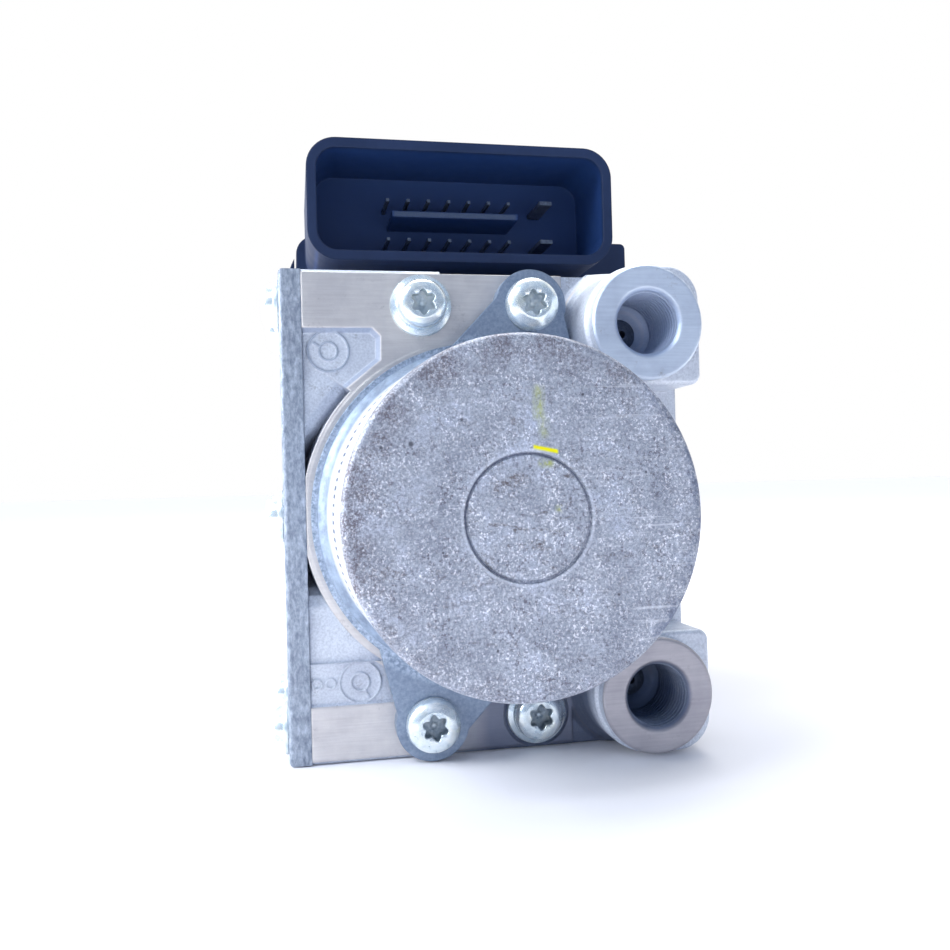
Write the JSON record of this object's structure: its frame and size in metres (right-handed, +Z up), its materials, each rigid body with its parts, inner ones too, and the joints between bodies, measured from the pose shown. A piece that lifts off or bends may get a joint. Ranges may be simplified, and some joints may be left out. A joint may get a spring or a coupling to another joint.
{
  "type": "hydraulic valve block",
  "caption": "Motor-driven hydraulic valve block with two threaded line ports, round pump motor, steel side plate and a black control unit with a multi-pin socket.",
  "frame": {"origin": "middle of the underside of the bounding box, which is the block's underside", "axes": "+X to the line ports' side, +Y from the motor to the control unit, +Z up"},
  "size_m": [0.0814, 0.1138, 0.1149],
  "materials": {
    "cast_aluminium": "matt cast with machined faces",
    "zinc_steel": "mottled zinc grain",
    "dark_zinc": "rough dark zinc",
    "sheared_steel": "mottled",
    "bright_zinc": "bright blue zinc",
    "bearing_steel": "ground",
    "laminated_steel": "laminated",
    "ferrite": "matt",
    "copper": "bright copper",
    "tinned_brass": "tinned",
    "black_plastic": "fine grain",
    "brown_plastic": "moulded",
    "green_board": "solder resist",
    "chip_black": "matt",
    "carbon": "sintered",
    "rubber_black": "matt"
  },
  "bodies": {
    "unit": {"valve_block": "cast_aluminium", "side_plate": "sheared_steel", "side_plate_screws": "bright_zinc", "side_plate_seals": "rubber_black", "passage_balls": "bearing_steel", "port_seats": "bearing_steel", "motor_can": "zinc_steel", "motor_flange": "dark_zinc", "motor_screws": "bright_zinc", "motor_seal": "rubber_black", "magnets": "ferrite", "front_bearing": "bearing_steel", "drive_bearing": "bearing_steel", "brush_plate": "brown_plastic", "motor_terminals": "tinned_brass", "brushes": "carbon", "brush_springs": "bearing_steel", "pump_sleeves": "bearing_steel", "pump_spring_left": "bearing_steel", "pump_spring_right": "bearing_steel", "pump_plugs": "bearing_steel", "pump_plug_rings": "rubber_black", "accumulator_spring": "bearing_steel", "accumulator_cap": "cast_aluminium", "damper_cap": "cast_aluminium", "damper_element": "rubber_black", "inlet_valve_body": "bearing_steel", "outlet_valve_body": "bearing_steel", "inlet_valve_spring": "bearing_steel", "outlet_valve_spring": "bearing_steel", "valve_coils": "copper", "coil_yokes": "zinc_steel", "coil_pins": "tinned_brass", "unit_housing": "black_plastic", "unit_cover": "black_plastic", "cover_seal": "rubber_black", "housing_seal": "rubber_black", "unit_screws": "bright_zinc", "unit_inserts": "tinned_brass", "cover_clip": "black_plastic", "connector_pins": "tinned_brass", "power_blades": "tinned_brass", "circuit_board": "green_board", "board_components": "chip_black"},
    "rotor": {"motor_shaft": "bearing_steel", "armature_core": "laminated_steel", "armature_windings": "copper", "commutator": "copper", "cam_needles": "bearing_steel"},
    "cam_race": {"cam_ring": "bearing_steel"},
    "left_piston": {"pump_piston_left": "bearing_steel"},
    "right_piston": {"pump_piston_right": "bearing_steel"},
    "store_piston": {"accumulator_piston": "cast_aluminium", "accumulator_ring": "rubber_black"},
    "inlet_armature": {"inlet_plunger": "bearing_steel"},
    "outlet_armature": {"outlet_plunger": "bearing_steel"}
  },
  "joints": [
    {"name": "motor_spin", "type": "hinge", "parent": "unit", "child": "rotor", "pos_m": [-0.0034, -0.02108, 0.04293], "axis": [0, 1, 0], "continuous": true},
    {"name": "cam_ring_spin", "type": "hinge", "parent": "rotor", "child": "cam_race", "pos_m": [-0.0034, -0.00308, 0.04393], "axis": [0, 1, 0], "continuous": true},
    {"name": "left_piston_slide", "type": "slide", "parent": "unit", "child": "left_piston", "axis": [1, 0, 0], "range_m": [0, 0.001], "deforming": ["pump_spring_left"]},
    {"name": "right_piston_slide", "type": "slide", "parent": "unit", "child": "right_piston", "axis": [-1, 0, 0], "range_m": [0, 0.001], "deforming": ["pump_spring_right"]},
    {"name": "accumulator_slide", "type": "slide", "parent": "unit", "child": "store_piston", "axis": [-1, 0, 0], "range_m": [0, 0.005], "stiffness_N_per_m": 3000, "springref_m": -0.002, "deforming": ["accumulator_spring"]},
    {"name": "inlet_valve_lift", "type": "slide", "parent": "unit", "child": "inlet_armature", "axis": [0, -1, 0], "range_m": [0, 0.0004], "stiffness_N_per_m": 4000, "springref_m": -0.0005, "deforming": ["inlet_valve_spring"]},
    {"name": "outlet_valve_lift", "type": "slide", "parent": "unit", "child": "outlet_armature", "axis": [0, 1, 0], "range_m": [0, 0.0004], "stiffness_N_per_m": 4000, "springref_m": -0.0005, "deforming": ["outlet_valve_spring"]}
  ]
}
